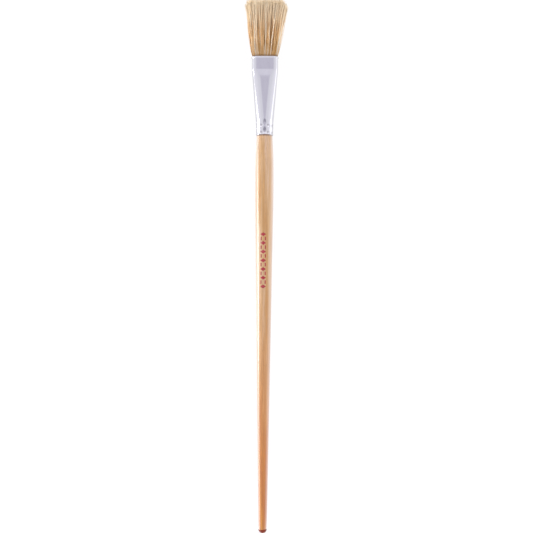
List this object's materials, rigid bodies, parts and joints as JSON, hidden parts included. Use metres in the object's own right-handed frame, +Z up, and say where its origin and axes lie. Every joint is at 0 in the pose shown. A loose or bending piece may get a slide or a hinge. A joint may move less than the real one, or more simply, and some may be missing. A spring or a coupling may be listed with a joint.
{
  "type": "flat bristle brush",
  "caption": "Long slim turned wooden handle with a dipped end, a crimped tin ferrule that turns from round to flat, and a flat flared tuft of natural bristles that flexes.",
  "frame": {"origin": "centre of the brush's box on the plane it lies on, under the handle's axis, which is 5.95 mm above it at the belly", "axes": "+Y along the brush towards the bristle tips, +X across the width of the tuft, +Z up, square to the tuft's flat side"},
  "size_m": [0.026, 0.34, 0.0119],
  "materials": {
    "lacquered_wood": "gloss",
    "red_lacquer": "gloss",
    "tinned_steel": "polished",
    "setting_resin": "satin",
    "bristle": "satin"
  },
  "bodies": {
    "grip": {"handle": "lacquered_wood", "end_dip": "red_lacquer", "ferrule": "tinned_steel", "setting_plug": "setting_resin", "bristle_roots": "bristle"},
    "tuft": {"bristle_tuft": "bristle"}
  },
  "joints": [
    {"name": "tuft_flex", "type": "hinge", "parent": "grip", "child": "tuft", "pos_m": [0, 0.1362, 0.00595], "axis": [1, 0, 0], "range_deg": [-30, 30], "stiffness_Nm_per_rad": 0.04}
  ]
}
